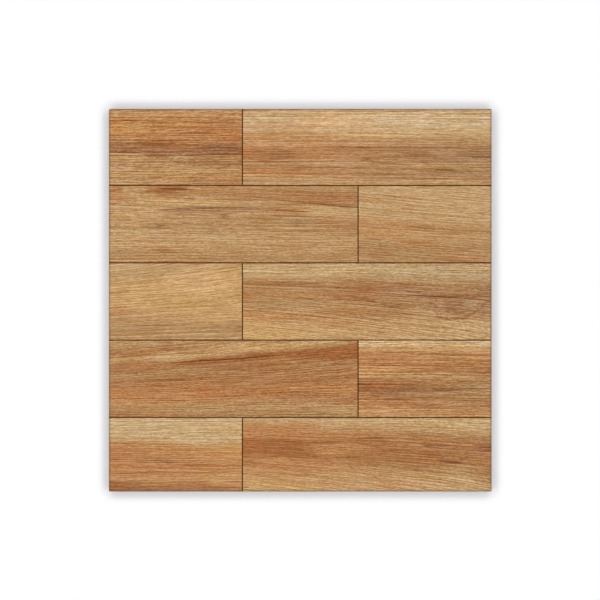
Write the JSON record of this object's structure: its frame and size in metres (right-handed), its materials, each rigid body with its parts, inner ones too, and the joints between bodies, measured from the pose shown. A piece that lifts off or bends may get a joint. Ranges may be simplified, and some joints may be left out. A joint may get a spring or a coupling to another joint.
{
  "type": "wood look porcelain floor tile",
  "caption": "Square pressed porcelain floor tile with a wood plank face, grooved board joints, rounded arrises and a waffle-ribbed back.",
  "frame": {"origin": "centre of the back, in the plane of the ribs that the tile rests on", "axes": "+Z out of the printed face, +X along the boards, +Y towards the first board course"},
  "size_m": [0.45, 0.45, 0.0085],
  "materials": {
    "printed_porcelain": "matte"
  },
  "bodies": {
    "root": {"porcelain_tile": "printed_porcelain"}
  },
  "joints": []
}
